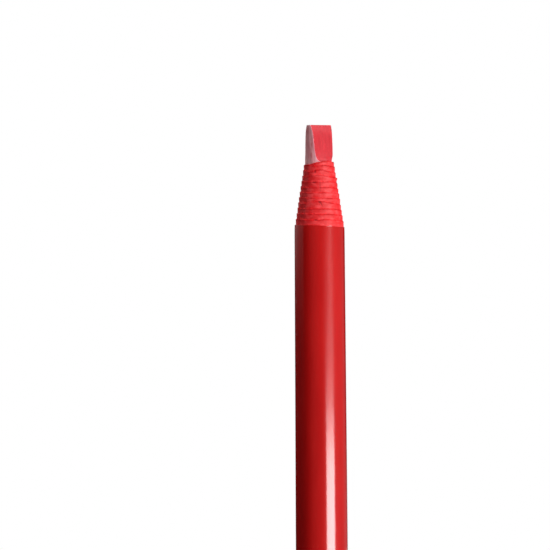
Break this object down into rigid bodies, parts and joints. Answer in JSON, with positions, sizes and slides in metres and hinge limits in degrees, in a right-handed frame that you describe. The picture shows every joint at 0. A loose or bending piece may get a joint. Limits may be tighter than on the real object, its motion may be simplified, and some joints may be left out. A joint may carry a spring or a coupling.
{
  "type": "wax marking pencil",
  "caption": "Round peel-off wax marking pencil: a chisel-shaved wax lead in a roll of scored paper ribbons with a tear string and a glossy label sleeve.",
  "frame": {"origin": "centre of the butt end, where the pencil stands", "axes": "+Z along the pencil's axis towards the tip; -Y is the side the chisel's cut face looks at most, and +Y is the back, with the label's glued lap and the string"},
  "size_m": [0.009, 0.0091, 0.165],
  "materials": {
    "wax": "matte wax",
    "peel_paper": "matte dyed paper",
    "label_paper": "gloss coated paper",
    "string": "twisted cotton"
  },
  "bodies": {
    "root": {"wax_lead": "wax", "tear_string": "string", "label_sleeve": "label_paper", "peel_section_01": "peel_paper", "peel_section_02": "peel_paper", "peel_section_03": "peel_paper", "peel_section_04": "peel_paper", "peel_section_05": "peel_paper", "peel_section_06": "peel_paper", "peel_section_07": "peel_paper", "peel_section_08": "peel_paper", "peel_section_09": "peel_paper", "peel_section_10": "peel_paper", "peel_section_11": "peel_paper", "peel_section_12": "peel_paper", "peel_section_13": "peel_paper", "peel_section_14": "peel_paper", "peel_section_15": "peel_paper", "peel_section_16": "peel_paper", "peel_section_17": "peel_paper", "peel_section_18": "peel_paper", "peel_section_19": "peel_paper", "peel_section_20": "peel_paper", "peel_section_21": "peel_paper", "peel_section_22": "peel_paper", "peel_section_23": "peel_paper"}
  },
  "joints": []
}
